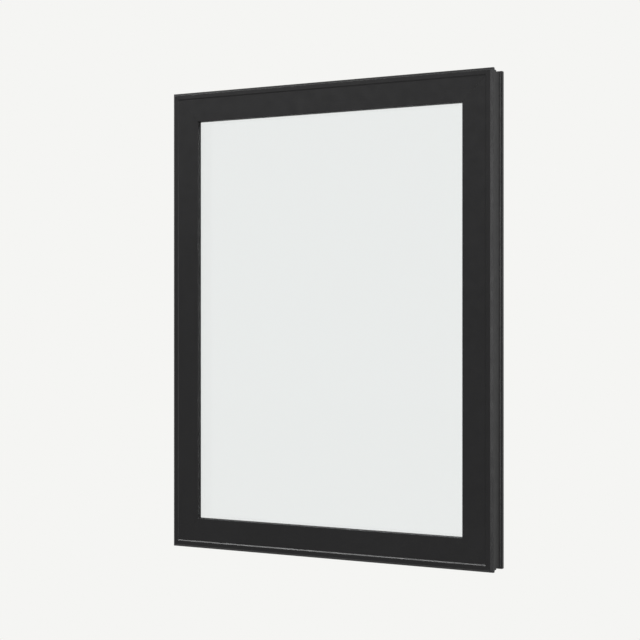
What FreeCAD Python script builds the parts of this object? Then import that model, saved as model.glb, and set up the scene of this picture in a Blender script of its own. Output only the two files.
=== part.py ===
"""Fixed picture window: mitred outer frame, fixed sash, double glass, gaskets and room-side beads.

Millimetres. X is the width, +Y points into the room and +Z is up. The origin is at the middle of
the frame's underside, in the plane of its room-side face, so the outside face looks along -Y.
A profile is drawn once for all four sides as two distances: inward from the frame's outer edge,
and back from the plane of the outside face.
"""
import os

import FreeCAD
import Part
import Sketcher

doc = FreeCAD.newDocument("picture_window")

# Sizes that a user may change
SIZES = [
    ("window_width", 914.4, "overall width of the frame"),
    ("window_height", 1219.2, "overall height of the frame"),
    ("frame_depth", 79.3, "outside face to room-side face"),
    ("front_bevel", 5.9, "bevel round the outside face"),
    ("rim_width", 16.0, "outer edge to the inner edge of the rim"),
    ("ledge_depth", 1.9, "how far the broad face is set back behind the rim"),
    ("ledge_run", 2.6, "width of the sloped ledge between rim and broad face"),
    ("face_width", 78.75, "outer edge to the edge of the opening"),
    ("return_run", 1.2, "how far the opening narrows towards the glass"),
    ("lip_thickness", 12.4, "thickness of the lip in front of the glass"),
    ("front_flange", 15.9, "depth of the flange behind the outside face"),
    ("step_inset", 3.0, "inset of the step behind the front flange"),
    ("step_depth", 18.4, "depth of that step"),
    ("groove_inset", 5.4, "inset of the groove floor at its front"),
    ("groove_rise", 1.0, "how far the groove floor rises to the rear"),
    ("rear_flange", 13.5, "depth of the rear flange"),
    ("rear_wall", 2.5, "height of the square wall in front of the rear flange"),
    ("frame_leg", 38.0, "outer edge to the inner edge of the room-side leg"),
    ("sash_depth", 50.0, "depth of the sash"),
    ("pocket_floor", 46.0, "outer edge to the floor of the glazing pocket"),
    ("glass_clearance", 4.0, "gap between pocket floor and glass edge"),
    ("outer_seal", 1.5, "thickness of the outer gasket"),
    ("seal_width", 9.0, "width of the outer gasket"),
    ("outer_seal_round", 0.5, "rounding of the outer gasket's edge at the glass"),
    ("pane_thickness", 5.0, "thickness of one sheet of glass"),
    ("glass_gap", 14.0, "space between the two sheets"),
    ("inner_seal", 2.5, "thickness of the inner gasket"),
    ("inner_seal_width", 6.0, "width of the inner gasket behind the bead"),
    ("inner_seal_proud", 0.8, "how far the inner gasket's nose stands out of the bead"),
    ("inner_seal_round", 1.1, "rounding of that nose"),
    ("bead_width", 15.0, "width of the bead at the glass"),
    ("bead_nose", 2.0, "height of the square nose of the bead"),
    ("bead_slope", 6.5, "how far the bead's face slopes back"),
    ("bead_curve", 4.0, "rounding of the bead's face"),
    ("foot_length", 3.0, "how far the bead's foot reaches into the sash"),
    ("foot_height", 2.4, "thickness of that foot"),
    ("foot_offset", 3.2, "front of the bead to its foot"),
    ("spacer_offset", 4.5, "glass edge to the spacer"),
    ("spacer_width", 7.5, "width of the spacer"),
    ("spacer_shoulder", 2.6, "height of the slanted shoulders at the spacer's back"),
    ("spacer_slant", 2.2, "how far those shoulders stand off the glass"),
    ("vent_width", 1.8, "width of the vent groove along the spacer"),
    ("vent_depth", 0.6, "depth of the vent groove"),
    ("drain_back", 38.0, "outside face to the middle of the drain slots"),
    ("drain_inset", 190.0, "end of the sill to the middle of its nearest drain slot"),
    ("drain_length", 30.0, "length of a drain slot"),
    ("drain_width", 5.0, "width of a drain slot"),
    ("edge_radius", 0.8, "rounding of the edges that show"),
    ("arris_radius", 0.3, "rounding of the bevel's outermost edge"),
    ("mitre_margin", 20.0, "how far the mitre cutters reach past the profiles"),
]

# Places worked out from those sizes
PLACES = [
    ("ledge_foot", "rim_width + ledge_run"),
    ("lip_tip", "face_width + return_run"),
    ("lip_back", "ledge_depth + lip_thickness"),
    ("step_back", "front_flange + step_depth"),
    ("groove_end", "groove_inset - groove_rise"),
    ("rear_front", "frame_depth - rear_flange"),
    ("groove_back", "rear_front - (groove_end - rear_wall)"),
    ("sash_back", "ledge_depth + sash_depth"),
    ("glass_edge", "pocket_floor + glass_clearance"),
    ("glass_front", "lip_back + outer_seal"),
    ("gap_front", "glass_front + pane_thickness"),
    ("gap_back", "gap_front + glass_gap"),
    ("glass_back", "gap_back + pane_thickness"),
    ("seal_start", "lip_tip - seal_width"),
    ("bead_front", "glass_back + inner_seal"),
    ("bead_tip", "pocket_floor + bead_width"),
    ("bead_shoulder", "bead_tip - bead_slope"),
    ("bead_nose_back", "bead_front + bead_nose"),
    ("foot_tip", "pocket_floor - foot_length"),
    ("foot_front", "bead_front + foot_offset"),
    ("foot_back", "foot_front + foot_height"),
    ("inner_seal_start", "bead_tip - inner_seal_width"),
    ("inner_seal_tip", "bead_tip + inner_seal_proud"),
    ("spacer_start", "glass_edge + spacer_offset"),
    ("spacer_end", "spacer_start + spacer_width"),
    ("shoulder_end", "spacer_start + spacer_shoulder"),
    ("shoulder_front", "gap_front + spacer_slant"),
    ("shoulder_back", "gap_back - spacer_slant"),
    ("vent_floor", "spacer_end - vent_depth"),
    ("vent_front", "(gap_front + gap_back - vent_width) / 2"),
    ("vent_back", "vent_front + vent_width"),
    ("drain_reach", "(drain_length - drain_width) / 2"),
    ("drain_radius", "drain_width / 2"),
    ("near_drain", "drain_inset"),
    ("far_drain", "window_width - drain_inset"),
    ("mitre_reach", "face_width + mitre_margin"),
]

sheet = doc.addObject("Spreadsheet::Sheet", "Sizes")
row = 0
for alias, value, note in SIZES:
    row += 1
    sheet.set(f"A{row}", note)
    sheet.set(f"B{row}", str(value))
    sheet.setAlias(f"B{row}", alias)
for alias, formula in PLACES:
    row += 1
    sheet.set(f"A{row}", alias.replace("_", " "))
    sheet.set(f"B{row}", "=" + formula)
    sheet.setAlias(f"B{row}", alias)
doc.recompute()

# Profiles, as corners (inward, back, rounding); None stands for nought or for a square corner
FRAME = [
    (None, "front_bevel", "arris_radius"),
    ("front_bevel", None, "edge_radius"),
    ("rim_width", None, "edge_radius"),
    ("ledge_foot", "ledge_depth", None),
    ("ledge_foot", "sash_back", None),
    ("frame_leg", "sash_back", None),
    ("frame_leg", "frame_depth", "edge_radius"),
    (None, "frame_depth", "edge_radius"),
    (None, "rear_front", "edge_radius"),
    ("rear_wall", "rear_front", None),
    ("groove_end", "groove_back", None),
    ("groove_inset", "step_back", None),
    ("step_inset", "step_back", None),
    ("step_inset", "front_flange", None),
    (None, "front_flange", "edge_radius"),
]
SASH = [
    ("ledge_foot", "ledge_depth", None),
    ("face_width", "ledge_depth", "edge_radius"),
    ("lip_tip", "lip_back", None),
    ("pocket_floor", "lip_back", None),
    ("pocket_floor", "foot_front", None),
    ("foot_tip", "foot_front", None),
    ("foot_tip", "foot_back", None),
    ("pocket_floor", "foot_back", None),
    ("pocket_floor", "sash_back", None),
    ("ledge_foot", "sash_back", None),
]
BEAD = [
    ("pocket_floor", "bead_front", None),
    ("bead_tip", "bead_front", None),
    ("bead_tip", "bead_nose_back", "bead_curve"),
    ("bead_shoulder", "sash_back", "bead_curve"),
    ("pocket_floor", "sash_back", None),
    ("pocket_floor", "foot_back", None),
    ("foot_tip", "foot_back", None),
    ("foot_tip", "foot_front", None),
    ("pocket_floor", "foot_front", None),
]
OUTER_GASKET = [
    ("seal_start", "lip_back", None),
    ("lip_tip", "lip_back", None),
    ("lip_tip", "glass_front", "outer_seal_round"),
    ("seal_start", "glass_front", None),
]
INNER_GASKET = [
    ("inner_seal_start", "glass_back", None),
    ("inner_seal_tip", "glass_back", "inner_seal_round"),
    ("inner_seal_tip", "bead_front", "inner_seal_round"),
    ("inner_seal_start", "bead_front", None),
]
SPACER = [
    ("spacer_start", "shoulder_front", None),
    ("shoulder_end", "gap_front", None),
    ("spacer_end", "gap_front", None),
    ("spacer_end", "vent_front", None),
    ("vent_floor", "vent_front", None),
    ("vent_floor", "vent_back", None),
    ("spacer_end", "vent_back", None),
    ("spacer_end", "gap_back", None),
    ("shoulder_end", "gap_back", None),
    ("spacer_start", "shoulder_back", None),
]

# For each side: start corner, inward direction, direction of its length, and its length
SIDES = {
    "head": (("-Sizes.window_width / 2", "Sizes.window_height"), (0, 0, -1), (1, 0, 0), "window_width"),
    "sill": (("Sizes.window_width / 2", None), (0, 0, 1), (-1, 0, 0), "window_width"),
    "left": (("-Sizes.window_width / 2", None), (1, 0, 0), (0, 0, 1), "window_height"),
    "right": (("Sizes.window_width / 2", "Sizes.window_height"), (-1, 0, 0), (0, 0, -1), "window_height"),
}
MEMBERS = [
    ("frame_head", "head", FRAME),
    ("frame_sill", "sill", FRAME),
    ("frame_left_jamb", "left", FRAME),
    ("frame_right_jamb", "right", FRAME),
    ("sash_top_rail", "head", SASH),
    ("sash_bottom_rail", "sill", SASH),
    ("sash_left_stile", "left", SASH),
    ("sash_right_stile", "right", SASH),
]
for stem, profile in [
    ("glazing_bead", BEAD),
    ("outer_gasket", OUTER_GASKET),
    ("inner_gasket", INNER_GASKET),
    ("spacer", SPACER),
]:
    for end, side in [("top", "head"), ("bottom", "sill"), ("left", "left"), ("right", "right")]:
        MEMBERS.append((f"{stem}_{end}", side, profile))

# Bottom members that let water out of the glazing pocket
DRAINED = ("frame_sill", "sash_bottom_rail")

# Points closer than this count as one
SAME_SPOT = 1e-4


def value_of(alias):
    """A size or place from the sheet, or nought for None."""
    return 0.0 if alias is None else float(sheet.get(alias))


def put_at_corner(thing, corner):
    """Ties an object's place to the outside corner where its side starts."""
    across, up = corner
    thing.setExpression("Placement.Base.x", across)
    thing.setExpression("Placement.Base.y", "-Sizes.frame_depth")
    if up is not None:
        thing.setExpression("Placement.Base.z", up)


def draw_profile(body, label, corners):
    """Sketches a closed profile whose every corner is driven by the sheet."""
    sketch = body.newObject("Sketcher::SketchObject", label + "_profile")
    plane = [f for f in body.Origin.OriginFeatures if f.Role == "XY_Plane"][0]
    sketch.AttachmentSupport = [(plane, "")]
    sketch.MapMode = "FlatFace"
    spots = [FreeCAD.Vector(value_of(inward), value_of(back), 0) for inward, back, rounding in corners]
    count = len(spots)
    for i in range(count):
        sketch.addGeometry(Part.LineSegment(spots[i], spots[(i + 1) % count]), False)
    for i in range(count):
        sketch.addConstraint(Sketcher.Constraint("Coincident", i, 2, (i + 1) % count, 1))
    for i, (inward, back, rounding) in enumerate(corners):
        for alias, axis, kind, number in (
            (inward, -2, "DistanceX", spots[i].x),
            (back, -1, "DistanceY", spots[i].y),
        ):
            if alias is None:
                sketch.addConstraint(Sketcher.Constraint("PointOnObject", i, 1, axis))
            else:
                at = sketch.addConstraint(Sketcher.Constraint(kind, -1, 1, i, 1, number))
                sketch.setExpression(f"Constraints[{at}]", f"Sizes.{alias}")
    return sketch


def round_edges(body, feature, label, corners, rounding):
    """Rounds the long edges through those corners of the profile that name this rounding."""
    names = []
    for inward, back, wanted in corners:
        if wanted != rounding:
            continue
        spot = FreeCAD.Vector(value_of(inward), value_of(back), 0)
        for number, edge in enumerate(feature.Shape.Edges, 1):
            ends = [FreeCAD.Vector(v.Point.x, v.Point.y, 0) for v in edge.Vertexes]
            if len(ends) == 2 and all(end.isEqual(spot, SAME_SPOT) for end in ends):
                names.append(f"Edge{number}")
    fillet = body.newObject("PartDesign::Fillet", f"{label}_{rounding}")
    fillet.Base = (feature, names)
    fillet.setExpression("Radius", f"Sizes.{rounding}")
    doc.recompute()
    return fillet


def cut_drains(body, label):
    """Cuts two slots through a bottom member, so that the glazing pocket drains into the groove below."""
    sketch = body.newObject("Sketcher::SketchObject", label + "_slots")
    plane = [f for f in body.Origin.OriginFeatures if f.Role == "YZ_Plane"][0]
    sketch.AttachmentSupport = [(plane, "")]
    sketch.MapMode = "FlatFace"
    back, reach, radius = (value_of(alias) for alias in ("drain_back", "drain_reach", "drain_radius"))
    for alias in ("near_drain", "far_drain"):
        low, high = value_of(alias) - reach, value_of(alias) + reach
        corners = [(back - radius, low), (back + radius, low), (back + radius, high), (back - radius, high)]
        spots = [FreeCAD.Vector(across, along, 0) for across, along in corners]
        foot = FreeCAD.Vector(back, low - radius, 0)
        head = FreeCAD.Vector(back, high + radius, 0)
        near = sketch.addGeometry(Part.Arc(spots[0], foot, spots[1]), False)
        right = sketch.addGeometry(Part.LineSegment(spots[1], spots[2]), False)
        far = sketch.addGeometry(Part.Arc(spots[2], head, spots[3]), False)
        left = sketch.addGeometry(Part.LineSegment(spots[3], spots[0]), False)
        for one, one_end, other, other_end in (
            (near, 2, right, 1),
            (right, 2, far, 1),
            (far, 2, left, 1),
            (left, 2, near, 1),
        ):
            sketch.addConstraint(Sketcher.Constraint("Tangent", one, one_end, other, other_end))
        sketch.addConstraint(Sketcher.Constraint("Vertical", right))
        for kind, shape, number, formula in (
            ("DistanceX", near, back, "Sizes.drain_back"),
            ("DistanceY", near, low, f"Sizes.{alias} - Sizes.drain_reach"),
            ("DistanceY", far, high, f"Sizes.{alias} + Sizes.drain_reach"),
        ):
            at = sketch.addConstraint(Sketcher.Constraint(kind, -1, 1, shape, 3, number))
            sketch.setExpression(f"Constraints[{at}]", formula)
        at = sketch.addConstraint(Sketcher.Constraint("Radius", near, radius))
        sketch.setExpression(f"Constraints[{at}]", "Sizes.drain_radius")
    pocket = body.newObject("PartDesign::Pocket", label + "_drains")
    pocket.Profile = sketch
    pocket.Type = "ThroughAll"
    pocket.Reversed = True


# Wedges that cut each side's ends to a mitre
wedges = {}
for side, (corner, inward, along, length) in SIDES.items():
    wedge = doc.addObject("Part::Wedge", side + "_mitre")
    wedge.Placement.Rotation = FreeCAD.Rotation(
        FreeCAD.Vector(*along), FreeCAD.Vector(*inward), FreeCAD.Vector(0, 1, 0), "ZXY"
    )
    put_at_corner(wedge, corner)
    wedge.Xmin = 0
    wedge.Ymin = 0
    wedge.setExpression("Xmax", f"Sizes.{length}")
    wedge.setExpression("Ymax", "Sizes.mitre_reach")
    wedge.setExpression("X2min", "Sizes.mitre_reach")
    wedge.setExpression("X2max", f"Sizes.{length} - Sizes.mitre_reach")
    for name in ("Zmin", "Z2min"):
        wedge.setExpression(name, "-Sizes.mitre_margin")
    for name in ("Zmax", "Z2max"):
        wedge.setExpression(name, "Sizes.frame_depth + Sizes.mitre_margin")
    wedges[side] = wedge
doc.recompute()

# Straight members with mitred ends
pieces = {}
for label, side, corners in MEMBERS:
    corner, inward, along, length = SIDES[side]
    body = doc.addObject("PartDesign::Body", label + "_bar")
    body.Placement.Rotation = FreeCAD.Rotation(
        FreeCAD.Vector(*inward), FreeCAD.Vector(0, 1, 0), FreeCAD.Vector(*along), "ZXY"
    )
    put_at_corner(body, corner)
    sketch = draw_profile(body, label, corners)
    feature = body.newObject("PartDesign::Pad", label + "_pad")
    feature.Profile = sketch
    feature.setExpression("Length", f"Sizes.{length}")
    doc.recompute()
    for rounding in sorted({rounding for _, _, rounding in corners if rounding is not None}):
        feature = round_edges(body, feature, label, corners, rounding)
    if label in DRAINED:
        cut_drains(body, label)
    piece = doc.addObject("Part::Common", label)
    piece.Base = body
    piece.Tool = wedges[side]
    pieces[label] = piece

# The two sheets of glass
for label, front in (("outer_pane", "glass_front"), ("inner_pane", "gap_back")):
    pane = doc.addObject("Part::Box", label)
    pane.setExpression("Length", "Sizes.window_width - 2 * Sizes.glass_edge")
    pane.setExpression("Width", "Sizes.pane_thickness")
    pane.setExpression("Height", "Sizes.window_height - 2 * Sizes.glass_edge")
    pane.setExpression("Placement.Base.x", "Sizes.glass_edge - Sizes.window_width / 2")
    pane.setExpression("Placement.Base.y", f"Sizes.{front} - Sizes.frame_depth")
    pane.setExpression("Placement.Base.z", "Sizes.glass_edge")
    pieces[label] = pane
doc.recompute()

# Checks, then one file for each piece
for thing in doc.Objects:
    if "Invalid" in thing.State or "Error" in thing.State:
        raise RuntimeError(f"{thing.Label} failed: {thing.State}")
os.makedirs("parts", exist_ok=True)
for label, piece in pieces.items():
    shape = piece.Shape
    if shape.isNull() or not shape.isValid() or len(shape.Solids) != 1:
        raise RuntimeError(f"{label} is not one valid solid")
    shape.Solids[0].exportStep(f"parts/{label}.step")
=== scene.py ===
"""Finishes, glass, stage and camera for the fixed picture window.

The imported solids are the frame. Every bar, seal, spacer and pane keeps its solid and gets a finish of
its own, and a plain studio with the photograph's camera is set round them. Sizes are in metres.
"""

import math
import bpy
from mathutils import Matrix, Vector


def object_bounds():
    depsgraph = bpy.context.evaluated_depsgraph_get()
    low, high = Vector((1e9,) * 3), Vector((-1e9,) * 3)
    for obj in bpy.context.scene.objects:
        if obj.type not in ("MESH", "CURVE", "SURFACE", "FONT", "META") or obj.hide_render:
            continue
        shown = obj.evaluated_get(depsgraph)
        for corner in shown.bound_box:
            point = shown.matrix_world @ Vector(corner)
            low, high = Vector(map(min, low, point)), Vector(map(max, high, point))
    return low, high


bl_info = {
    "name": "Fixed picture window",
    "version": (1, 0, 0),
    "blender": (4, 5, 0),
    "location": "View3D > Sidebar > Window",
    "description": "Finishes, glass, stage and camera for a fixed picture window",
    "category": "Object",
}

import bpy
from mathutils import Vector

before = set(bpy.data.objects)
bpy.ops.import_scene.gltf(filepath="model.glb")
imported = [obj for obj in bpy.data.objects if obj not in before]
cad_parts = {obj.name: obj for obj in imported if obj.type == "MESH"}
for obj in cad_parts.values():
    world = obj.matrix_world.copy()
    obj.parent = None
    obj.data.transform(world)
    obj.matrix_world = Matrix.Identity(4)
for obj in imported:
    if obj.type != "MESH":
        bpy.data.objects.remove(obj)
CAD_LOW, CAD_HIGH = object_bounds()
ENDS = ("top", "bottom", "left", "right")
FRAME_BARS = ("frame_head", "frame_sill", "frame_left_jamb", "frame_right_jamb")
SASH_BARS = ("sash_top_rail", "sash_bottom_rail", "sash_left_stile", "sash_right_stile")
BEADS = tuple(f"glazing_bead_{end}" for end in ENDS)
GASKETS = tuple(f"{place}_gasket_{end}" for place in ("outer", "inner") for end in ENDS)
SPACERS = tuple(f"spacer_{end}" for end in ENDS)
PANES = ("outer_pane", "inner_pane")

# Middle of a pattern's numbers, where most of them lie
PATTERN_MIDDLE = (0.3, 0.7)

# Patterns, as repeats in a metre and detail
COAT_PATCHES = (7.0, 3.0)
COAT_GLOSS = (38.0, 4.0)
COAT_LINES = (420.0, 2.0)
RUBBER_BLOOM = (45.0, 4.0)
RUBBER_LINES = (1100.0, 3.0)
SPACER_STREAKS = (700.0, 3.0)
GLASS_FILM = (9.0, 5.0)

# Darkest and lightest tone of a finish, as shares of its colour
COAT_TONES = (0.92, 1.08)
RUBBER_TONES = (0.85, 1.2)
SPACER_TONES = (0.90, 1.06)

# Smoothest and roughest spot of a finish
RUBBER_ROUGHNESS = (0.62, 0.74)
SPACER_ROUGHNESS = (0.30, 0.42)
GLASS_ROUGHNESS = (0.012, 0.04)

# Relief, as strength and height
COAT_RELIEF = (0.60, 0.0003)
RUBBER_RELIEF = (0.2, 0.0001)
SPACER_RELIEF = (0.10, 0.0001)
GLASS_RELIEF = (0.05, 0.002)

# Coat: shine, how far its roughness swings, and height of the lines against the grain
COAT_SHINE = 0.32
COAT_SWING = 0.04
COAT_LINE_HEIGHT = 0.5

# Squeeze along a bar that draws a pattern out into lines
LINE_SQUEEZE = 0.012

# Mitre hairline: tone, added roughness, height against the grain, and how much of its width is full
MITRE_TONE = 0.1
MITRE_DULLNESS = 0.5
MITRE_HEIGHT = -3.0
MITRE_CORE = 0.3

# Beads are joined less tightly than bars, by this much
BEAD_SEAM = 2.0

# Pin holes in the spacer: spacing, start and end of the edge, colour, and height against the streaks
HOLE_SPACING = 0.0065
HOLE_EDGE = (0.00045, 0.0006)
HOLE_COLOUR = (0.01, 0.01, 0.01)
HOLE_HEIGHT = -4.0

# Glass: share mirrored straight on, and how steeply it rises to all at a flat angle
GLASS_MIRRORED = 0.035
GLASS_STEEPNESS = 5.0

# Room light, by how far up and how far back a ray goes, and the brightness there
ROOM_RISE = ((0.25, 0.9), (0.86, 1.05))
ROOM_DEPTH = ((-1.0, 1.0), (1.42, 1.0))

# Floor: size, tone of its paint, and where it melts into the background, seen and mirrored
FLOOR_SIZE = 40.0
FLOOR_TONE = 0.93
FLOOR_MELT = ((0.5, 2.0), (0.35, 1.0))
FLOOR_MIRRORED_MELT = ((1.4, 2.4), (0.0, 1.0))

# Lamps, as name, place, aim, size and watts
LAMPS = (
    ("front_strip", (-2.7, -2.6, 4.75), (-2.7, -0.1, 0.1), (3.0, 0.9), 355.0),
    ("right_side", (3.3, -1.05, 0.95), (0.45, 0.0, 0.6), (1.2, 2.6), 44.0),
    ("camera_side", (1.95, -2.85, 0.8), (-0.4, 0.0, 0.6), (0.8, 2.0), 20.0),
    ("room_side", (0.3, 2.6, 3.6), (0.0, 0.0, 0.5), (1.8, 0.8), 80.0),
    ("back_right", (2.65, 2.3, 1.25), (0.0, 0.0, 0.6), (0.9, 2.2), 9.0),
)

# Camera: width of its sensor in millimetres, and the nearest and farthest that it sees
SENSOR_WIDTH = 36.0
SIGHT = (0.01, 200.0)


class CoatSettings(bpy.types.PropertyGroup):
    """Satin black coat on the bars."""

    colour: bpy.props.FloatVectorProperty(
        name="Coat colour",
        description="Colour of the coat on frame, sash and beads",
        subtype="COLOR",
        size=3,
        min=0.0,
        max=1.0,
        default=(0.0082, 0.0081, 0.0087),
    )
    roughness: bpy.props.FloatProperty(
        name="Coat roughness",
        description="How far the coat spreads reflections",
        min=0.05,
        max=1.0,
        default=0.42,
    )
    grain: bpy.props.FloatProperty(
        name="Grain size",
        description="Size of the coat's fine orange-peel grain",
        unit="LENGTH",
        min=0.0001,
        max=0.01,
        default=0.0024,
    )
    seam: bpy.props.FloatProperty(
        name="Mitre line",
        description="Half width of the hairline where two bars meet",
        unit="LENGTH",
        min=0.00002,
        max=0.001,
        default=0.0003,
    )


class GlassSettings(bpy.types.PropertyGroup):
    """Clear insulating glass."""

    tint: bpy.props.FloatVectorProperty(
        name="Glass tint",
        description="What one face of a sheet lets through",
        subtype="COLOR",
        size=3,
        min=0.0,
        max=1.0,
        default=(0.992, 0.998, 1.0),
    )
    wave: bpy.props.FloatProperty(
        name="Roller wave",
        description="Length of the faint waves that heat treatment leaves in a sheet",
        unit="LENGTH",
        min=0.05,
        max=1.0,
        default=0.25,
    )


class SealSettings(bpy.types.PropertyGroup):
    """Rubber seals and the metal spacer."""

    rubber: bpy.props.FloatVectorProperty(
        name="Rubber colour",
        description="Colour of the gaskets",
        subtype="COLOR",
        size=3,
        min=0.0,
        max=1.0,
        default=(0.009, 0.009, 0.0092),
    )
    metal: bpy.props.FloatVectorProperty(
        name="Spacer colour",
        description="Colour of the spacer between the sheets",
        subtype="COLOR",
        size=3,
        min=0.0,
        max=1.0,
        default=(0.56, 0.565, 0.575),
    )


class StageSettings(bpy.types.PropertyGroup):
    """Floor, background, lights and camera."""

    background: bpy.props.FloatVectorProperty(
        name="Background",
        description="Pale colour behind the window",
        subtype="COLOR",
        size=3,
        min=0.0,
        max=1.0,
        default=(0.913, 0.913, 0.896),
    )
    studio: bpy.props.FloatVectorProperty(
        name="Studio",
        description="Soft light that the window is lit by and mirrors from all round",
        subtype="COLOR",
        size=3,
        min=0.0,
        max=2.0,
        default=(0.30, 0.30, 0.30),
    )
    mirrored: bpy.props.FloatProperty(
        name="Mirrored background",
        description="Share of the pale background that glossy surfaces mirror",
        subtype="FACTOR",
        min=0.0,
        max=1.0,
        default=0.22,
    )
    horizon: bpy.props.FloatProperty(
        name="Mirrored horizon",
        description="Share of the background's paleness that the far floor shows in a reflection",
        subtype="FACTOR",
        min=0.0,
        max=1.0,
        default=0.495,
    )
    floor_bounce: bpy.props.FloatProperty(
        name="Floor bounce",
        description="Share of the floor's paleness that it throws back at the window",
        subtype="FACTOR",
        min=0.0,
        max=1.0,
        default=0.55,
    )
    floor_drop: bpy.props.FloatProperty(
        name="Floor below sill",
        description="How far below the window the floor lies",
        unit="LENGTH",
        min=0.0,
        max=3.0,
        default=0.9,
    )
    azimuth: bpy.props.FloatProperty(
        name="Camera azimuth",
        description="How far the camera stands to the right of straight on",
        subtype="ANGLE",
        default=math.radians(27.311),
    )
    lens: bpy.props.FloatProperty(
        name="Lens",
        description="Focal length in millimetres on a 36 mm wide sensor",
        min=10.0,
        max=300.0,
        default=80.482,
    )
    eye: bpy.props.FloatVectorProperty(
        name="Camera place",
        description="Where the camera stands",
        subtype="XYZ",
        unit="LENGTH",
        size=3,
        default=(1.668105, -3.328742, 0.6096),
    )


def new_material(name):
    """A material with an empty node tree and its output."""
    material = bpy.data.materials.new(name)
    material.use_nodes = True
    tree = material.node_tree
    tree.nodes.clear()
    return material, tree, tree.nodes.new("ShaderNodeOutputMaterial")


def place_on(tree, kind="Object"):
    """Place on the piece or, as Generated in a world, the way that a ray goes."""
    return tree.nodes.new("ShaderNodeTexCoord").outputs[kind]


def parts_of(tree, vector):
    """The three parts of a vector, by letter."""
    node = tree.nodes.new("ShaderNodeSeparateXYZ")
    tree.links.new(vector, node.inputs[0])
    return node.outputs


def noise(tree, place, scale, detail=2.0):
    """Noise over a place vector, as its plain number."""
    node = tree.nodes.new("ShaderNodeTexNoise")
    node.inputs["Scale"].default_value = scale
    node.inputs["Detail"].default_value = detail
    tree.links.new(place, node.inputs["Vector"])
    return node.outputs["Fac"]


def ramp(tree, number, between, onto, smooth=True):
    """A number that goes from one end of a range to the other, and stays at the ends."""
    node = tree.nodes.new("ShaderNodeMapRange")
    node.interpolation_type = "SMOOTHSTEP" if smooth else "LINEAR"
    for socket, value in zip(("From Min", "From Max", "To Min", "To Max"), (*between, *onto)):
        node.inputs[socket].default_value = value
    tree.links.new(number, node.inputs["Value"])
    return node.outputs["Result"]


def spread(tree, number, low, high):
    """Maps the middle of a pattern onto low to high."""
    return ramp(tree, number, PATTERN_MIDDLE, (low, high), smooth=False)


def math_step(tree, operation, first, second=None, third=None):
    """One sum on numbers or sockets."""
    node = tree.nodes.new("ShaderNodeMath")
    node.operation = operation
    for socket, value in zip(node.inputs, (first, second, third)):
        if value is None:
            continue
        if isinstance(value, (int, float)):
            socket.default_value = value
        else:
            tree.links.new(value, socket)
    return node.outputs[0]


def toned(colour, share):
    """A colour made darker or lighter by a share."""
    return tuple(min(1.0, share * part) for part in colour)


def blend_colours(tree, number, low, high):
    """A colour between two, by a number from 0 to 1. Each is a plain colour or a socket."""
    node = tree.nodes.new("ShaderNodeMix")
    node.data_type = "RGBA"
    tree.links.new(number, node.inputs["Factor"])
    for name, colour in (("A", low), ("B", high)):
        if isinstance(colour, bpy.types.NodeSocket):
            tree.links.new(colour, node.inputs[name])
        else:
            node.inputs[name].default_value = (*colour, 1.0)
    return node.outputs["Result"]


def blend_shaders(tree, share, low, high, output):
    """Puts two shaders on the output, by the share of the second."""
    node = tree.nodes.new("ShaderNodeMixShader")
    tree.links.new(share, node.inputs["Fac"])
    tree.links.new(low.outputs[0], node.inputs[1])
    tree.links.new(high.outputs[0], node.inputs[2])
    tree.links.new(node.outputs[0], output.inputs["Surface"])


def relief(tree, height, strength, distance):
    """Bump from a height, as a normal."""
    node = tree.nodes.new("ShaderNodeBump")
    node.inputs["Strength"].default_value = strength
    node.inputs["Distance"].default_value = distance
    tree.links.new(height, node.inputs["Height"])
    return node.outputs["Normal"]


def surface(tree, output, colour, roughness, normal):
    """The main shader with its colour, roughness and relief, on the output."""
    shader = tree.nodes.new("ShaderNodeBsdfPrincipled")
    tree.links.new(colour, shader.inputs["Base Color"])
    tree.links.new(roughness, shader.inputs["Roughness"])
    tree.links.new(normal, shader.inputs["Normal"])
    tree.links.new(shader.outputs["BSDF"], output.inputs["Surface"])
    return shader


def drawn_out(tree, place, upright):
    """Place squeezed along the bar, so that a noise on it becomes lines along the bar."""
    node = tree.nodes.new("ShaderNodeMapping")
    squeeze = (1.0, 1.0, LINE_SQUEEZE) if upright else (LINE_SQUEEZE, 1.0, 1.0)
    node.inputs["Scale"].default_value = squeeze
    tree.links.new(place, node.inputs["Vector"])
    return node.outputs[0]


def mitre_line(tree, parts, width):
    """1 on the hairline where two bars meet at a corner, 0 away from it."""
    middle = (CAD_LOW[2] + CAD_HIGH[2]) / 2
    across = math_step(tree, "SUBTRACT", CAD_HIGH[0], math_step(tree, "ABSOLUTE", parts["X"]))
    height = math_step(tree, "ABSOLUTE", math_step(tree, "SUBTRACT", parts["Z"], middle))
    along = math_step(tree, "SUBTRACT", CAD_HIGH[2] - middle, height)
    away = math_step(tree, "ABSOLUTE", math_step(tree, "SUBTRACT", across, along))
    return ramp(tree, away, (MITRE_CORE * width, width), (1.0, 0.0))


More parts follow.
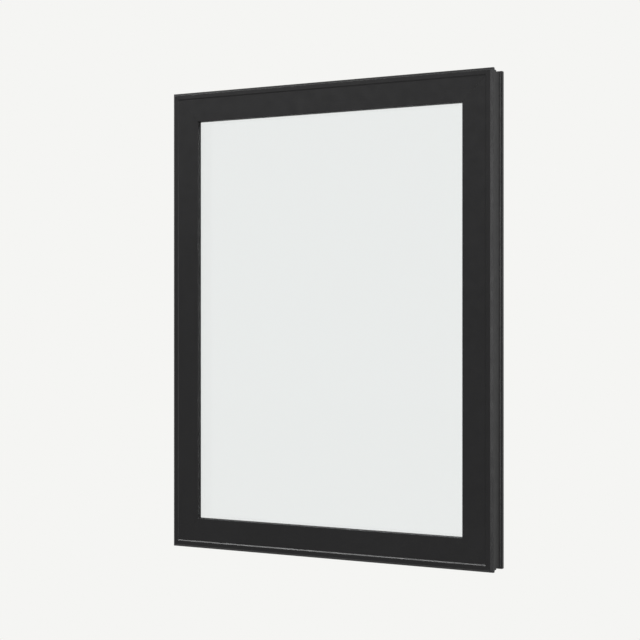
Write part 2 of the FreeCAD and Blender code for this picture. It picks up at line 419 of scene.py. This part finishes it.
def satin_coat(name, settings, upright, seam):
    """Baked satin black on an extruded bar: orange peel, faint lines along it, and hairline mitres."""
    material, tree, output = new_material(name)
    place = place_on(tree)
    joint = mitre_line(tree, parts_of(tree, place), seam)
    patches = spread(tree, noise(tree, place, *COAT_PATCHES), 0.0, 1.0)
    coat = blend_colours(tree, patches, *(toned(settings.colour, share) for share in COAT_TONES))
    colour = blend_colours(tree, joint, coat, toned(settings.colour, MITRE_TONE))
    low, high = settings.roughness - COAT_SWING, settings.roughness + COAT_SWING
    gloss = spread(tree, noise(tree, place, *COAT_GLOSS), low, high)
    roughness = math_step(tree, "MULTIPLY_ADD", joint, MITRE_DULLNESS, gloss)
    peel = noise(tree, place, 1.0 / settings.grain)
    lines = noise(tree, drawn_out(tree, place, upright), *COAT_LINES)
    grain = math_step(tree, "MULTIPLY_ADD", lines, COAT_LINE_HEIGHT, peel)
    height = math_step(tree, "MULTIPLY_ADD", joint, MITRE_HEIGHT, grain)
    shader = surface(tree, output, colour, roughness, relief(tree, height, *COAT_RELIEF))
    shader.inputs["Specular IOR Level"].default_value = COAT_SHINE
    return material


def gasket_rubber(name, settings, upright):
    """Matte extruded rubber with fine lines along it and a dusty bloom."""
    material, tree, output = new_material(name)
    place = place_on(tree)
    bloom = spread(tree, noise(tree, place, *RUBBER_BLOOM), 0.0, 1.0)
    colour = blend_colours(tree, bloom, *(toned(settings.rubber, share) for share in RUBBER_TONES))
    roughness = spread(tree, bloom, *RUBBER_ROUGHNESS)
    lines = noise(tree, drawn_out(tree, place, upright), *RUBBER_LINES)
    surface(tree, output, colour, roughness, relief(tree, lines, *RUBBER_RELIEF))
    return material


def vent_holes(tree, parts, upright, middle):
    """1 in the row of pin holes along the spacer's vent groove, 0 elsewhere."""
    along = math_step(tree, "PINGPONG", parts["Z" if upright else "X"], HOLE_SPACING / 2)
    aside = math_step(tree, "SUBTRACT", parts["Y"], middle)
    square = math_step(tree, "MULTIPLY", aside, aside)
    away = math_step(tree, "SQRT", math_step(tree, "MULTIPLY_ADD", along, along, square))
    return ramp(tree, away, HOLE_EDGE, (1.0, 0.0))


def spacer_metal(name, settings, upright, middle):
    """Rolled aluminium with drawn lines and a row of pin holes in its vent groove."""
    material, tree, output = new_material(name)
    place = place_on(tree)
    streaks = spread(tree, noise(tree, drawn_out(tree, place, upright), *SPACER_STREAKS), 0.0, 1.0)
    holes = vent_holes(tree, parts_of(tree, place), upright, middle)
    metal = blend_colours(tree, streaks, *(toned(settings.metal, share) for share in SPACER_TONES))
    colour = blend_colours(tree, holes, metal, HOLE_COLOUR)
    roughness = spread(tree, streaks, *SPACER_ROUGHNESS)
    height = math_step(tree, "MULTIPLY_ADD", holes, HOLE_HEIGHT, streaks)
    shader = surface(tree, output, colour, roughness, relief(tree, height, *SPACER_RELIEF))
    tree.links.new(math_step(tree, "SUBTRACT", 1.0, holes), shader.inputs["Metallic"])
    return material


def clear_glass(settings):
    """Clear sheet: lets light straight through, and mirrors more the flatter it is looked at."""
    material, tree, output = new_material("pane_glass")
    place = place_on(tree)
    facing = tree.nodes.new("ShaderNodeLayerWeight").outputs["Facing"]
    rise = math_step(tree, "POWER", facing, GLASS_STEEPNESS)
    share = math_step(tree, "MULTIPLY_ADD", rise, 1.0 - GLASS_MIRRORED, GLASS_MIRRORED)
    through = tree.nodes.new("ShaderNodeBsdfTransparent")
    through.inputs["Color"].default_value = (*settings.tint, 1.0)
    mirror = tree.nodes.new("ShaderNodeBsdfAnisotropic")
    film = spread(tree, noise(tree, place, *GLASS_FILM), *GLASS_ROUGHNESS)
    tree.links.new(film, mirror.inputs["Roughness"])
    waves = noise(tree, place, 1.0 / settings.wave, detail=0.0)
    tree.links.new(relief(tree, waves, *GLASS_RELIEF), mirror.inputs["Normal"])
    blend_shaders(tree, share, through, mirror, output)
    return material


def finish_nodes(names, material):
    """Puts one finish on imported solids."""
    for name in names:
        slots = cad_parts[name].data.materials
        slots.clear()
        slots.append(material)


def level_and_upright(names):
    """Sorts bars by the way they run, as pairs of a word and the names."""
    upright = [n for n in names if n.endswith(("_left", "_right", "_jamb", "_stile"))]
    level = [n for n in names if n not in upright]
    return (("level", level), ("upright", upright))


def coat_bars(names, stem, settings, seam):
    """Coats bars, each way of running with lines of its own."""
    for way, bars in level_and_upright(names):
        finish_nodes(bars, satin_coat(f"{stem}_{way}", settings, way == "upright", seam))


class CoatFrame(bpy.types.Operator):
    """Coats the four bars of the outer frame"""

    bl_idname = "picture_window.coat_frame"
    bl_label = "Coat outer frame"

    def execute(self, context):
        settings = context.scene.window_coat
        coat_bars(FRAME_BARS, "frame_coat", settings, settings.seam)
        return {"FINISHED"}


class CoatSash(bpy.types.Operator):
    """Coats the four bars of the fixed sash"""

    bl_idname = "picture_window.coat_sash"
    bl_label = "Coat sash"

    def execute(self, context):
        settings = context.scene.window_coat
        coat_bars(SASH_BARS, "sash_coat", settings, settings.seam)
        return {"FINISHED"}


class CoatBeads(bpy.types.Operator):
    """Coats the glazing beads on the room side"""

    bl_idname = "picture_window.coat_beads"
    bl_label = "Coat glazing beads"

    def execute(self, context):
        settings = context.scene.window_coat
        coat_bars(BEADS, "bead_coat", settings, BEAD_SEAM * settings.seam)
        return {"FINISHED"}


class FitGaskets(bpy.types.Operator):
    """Gives the seals on both sides of the glass their rubber"""

    bl_idname = "picture_window.fit_gaskets"
    bl_label = "Fit gaskets"

    def execute(self, context):
        settings = context.scene.window_seals
        for way, bars in level_and_upright(GASKETS):
            rubber = gasket_rubber(f"gasket_rubber_{way}", settings, way == "upright")
            finish_nodes(bars, rubber)
        return {"FINISHED"}


class FitSpacers(bpy.types.Operator):
    """Gives the bars between the sheets their metal"""

    bl_idname = "picture_window.fit_spacers"
    bl_label = "Fit spacers"

    def execute(self, context):
        settings = context.scene.window_seals
        depths = [v.co.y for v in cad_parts[SPACERS[0]].data.vertices]
        middle = (min(depths) + max(depths)) / 2
        for way, bars in level_and_upright(SPACERS):
            metal = spacer_metal(f"spacer_metal_{way}", settings, way == "upright", middle)
            finish_nodes(bars, metal)
        return {"FINISHED"}


class Glaze(bpy.types.Operator):
    """Makes both sheets clear glass"""

    bl_idname = "picture_window.glaze"
    bl_label = "Glaze"

    def execute(self, context):
        finish_nodes(PANES, clear_glass(context.scene.window_glass))
        return {"FINISHED"}


def ray_kinds(tree):
    """1 for rays from the camera and through glass, and 1 for rays that coat and glass mirror."""
    rays = tree.nodes.new("ShaderNodeLightPath").outputs
    seen = math_step(tree, "MAXIMUM", rays["Is Camera Ray"], rays["Is Transmission Ray"])
    return seen, rays["Is Glossy Ray"]


def studio_world(settings):
    """Pale to the camera, and to all else a soft room that is brighter overhead and in front."""
    world = bpy.data.worlds.new("studio")
    world.use_nodes = True
    tree = world.node_tree
    tree.nodes.clear()
    output = tree.nodes.new("ShaderNodeOutputWorld")
    pale = tree.nodes.new("ShaderNodeBackground")
    pale.inputs["Color"].default_value = (*settings.background, 1.0)
    room = tree.nodes.new("ShaderNodeBackground")
    room.inputs["Color"].default_value = (*settings.studio, 1.0)
    way = parts_of(tree, place_on(tree, "Generated"))
    rise = ramp(tree, way["Z"], *ROOM_RISE, smooth=False)
    depth = ramp(tree, way["Y"], *ROOM_DEPTH, smooth=False)
    tree.links.new(math_step(tree, "MULTIPLY", rise, depth), room.inputs["Strength"])
    seen, glossy = ray_kinds(tree)
    mirrored = math_step(tree, "MULTIPLY", glossy, settings.mirrored)
    blend_shaders(tree, math_step(tree, "MAXIMUM", seen, mirrored), room, pale, output)
    return world


def floor_paint(settings):
    """Pale floor that keeps the window's soft shadow near it and melts into the background."""
    material, tree, output = new_material("floor_paint")
    seen, glossy = ray_kinds(tree)
    paint = tree.nodes.new("ShaderNodeBsdfDiffuse")
    dull = toned(settings.background, settings.floor_bounce)
    light = toned(settings.background, FLOOR_TONE)
    tree.links.new(blend_colours(tree, seen, dull, light), paint.inputs["Color"])
    pale = tree.nodes.new("ShaderNodeEmission")
    far = toned(settings.background, settings.horizon)
    tree.links.new(blend_colours(tree, seen, far, settings.background), pale.inputs["Color"])
    away = tree.nodes.new("ShaderNodeVectorMath")
    away.operation = "LENGTH"
    tree.links.new(place_on(tree), away.inputs[0])
    distance = away.outputs["Value"]
    looked_at = math_step(tree, "MULTIPLY", ramp(tree, distance, *FLOOR_MELT), seen)
    mirrored = math_step(tree, "MULTIPLY", ramp(tree, distance, *FLOOR_MIRRORED_MELT), glossy)
    blend_shaders(tree, math_step(tree, "MAXIMUM", looked_at, mirrored), paint, pale, output)
    return material


def softbox(name, place, aim, size, watts):
    """A rectangular lamp that looks at a point."""
    bpy.ops.object.light_add(type="AREA", location=place)
    lamp = bpy.context.object
    lamp.name = name
    lamp.data.shape = "RECTANGLE"
    lamp.data.size, lamp.data.size_y = size
    lamp.data.energy = watts
    way = Vector(aim) - Vector(place)
    lamp.rotation_euler = way.to_track_quat("-Z", "Y").to_euler()
    lamp.visible_camera = False


class SetStage(bpy.types.Operator):
    """Adds the floor, background, lamps and the photograph's camera"""

    bl_idname = "picture_window.set_stage"
    bl_label = "Set stage"

    def execute(self, context):
        settings = context.scene.window_stage
        context.scene.view_settings.view_transform = "Standard"
        context.scene.world = studio_world(settings)
        bpy.ops.object.select_all(action="DESELECT")
        bpy.ops.mesh.primitive_plane_add(size=FLOOR_SIZE, location=(0.0, 0.0, -settings.floor_drop))
        floor = context.object
        floor.name = "floor"
        floor.data.materials.append(floor_paint(settings))
        for lamp in LAMPS:
            softbox(*lamp)
        bpy.ops.object.camera_add(location=settings.eye)
        camera = context.object
        camera.name = "photo_camera"
        camera.rotation_euler = (math.radians(90.0), 0.0, settings.azimuth)
        camera.data.sensor_width = SENSOR_WIDTH
        camera.data.lens = settings.lens
        camera.data.clip_start, camera.data.clip_end = SIGHT
        context.scene.camera = camera
        return {"FINISHED"}


class WindowPanel(bpy.types.Panel):
    """Lists the window's settings and steps"""

    bl_idname = "VIEW3D_PT_picture_window"
    bl_label = "Picture window"
    bl_space_type = "VIEW_3D"
    bl_region_type = "UI"
    bl_category = "Window"

    def draw(self, context):
        layout = self.layout
        for group in GROUPS:
            settings = getattr(context.scene, group)
            for name in settings.bl_rna.properties.keys():
                if name not in ("rna_type", "name"):
                    layout.prop(settings, name)
        for step in STEPS:
            layout.operator(step.bl_idname)


GROUPS = {
    "window_coat": CoatSettings,
    "window_glass": GlassSettings,
    "window_seals": SealSettings,
    "window_stage": StageSettings,
}
STEPS = (CoatFrame, CoatSash, CoatBeads, FitGaskets, FitSpacers, Glaze, SetStage)


def register():
    """Registers the settings, steps and panel."""
    for name, group in GROUPS.items():
        bpy.utils.register_class(group)
        setattr(bpy.types.Scene, name, bpy.props.PointerProperty(type=group))
    for step in STEPS:
        bpy.utils.register_class(step)
    bpy.utils.register_class(WindowPanel)


def unregister():
    """Takes back what register adds."""
    bpy.utils.unregister_class(WindowPanel)
    for step in reversed(STEPS):
        bpy.utils.unregister_class(step)
    for name, group in GROUPS.items():
        delattr(bpy.types.Scene, name)
        bpy.utils.unregister_class(group)


def main():
    """Runs every step in order."""
    register()
    bpy.ops.picture_window.coat_frame()
    bpy.ops.picture_window.coat_sash()
    bpy.ops.picture_window.coat_beads()
    bpy.ops.picture_window.fit_gaskets()
    bpy.ops.picture_window.fit_spacers()
    bpy.ops.picture_window.glaze()
    bpy.ops.picture_window.set_stage()


if __name__ == "__main__":
    main()
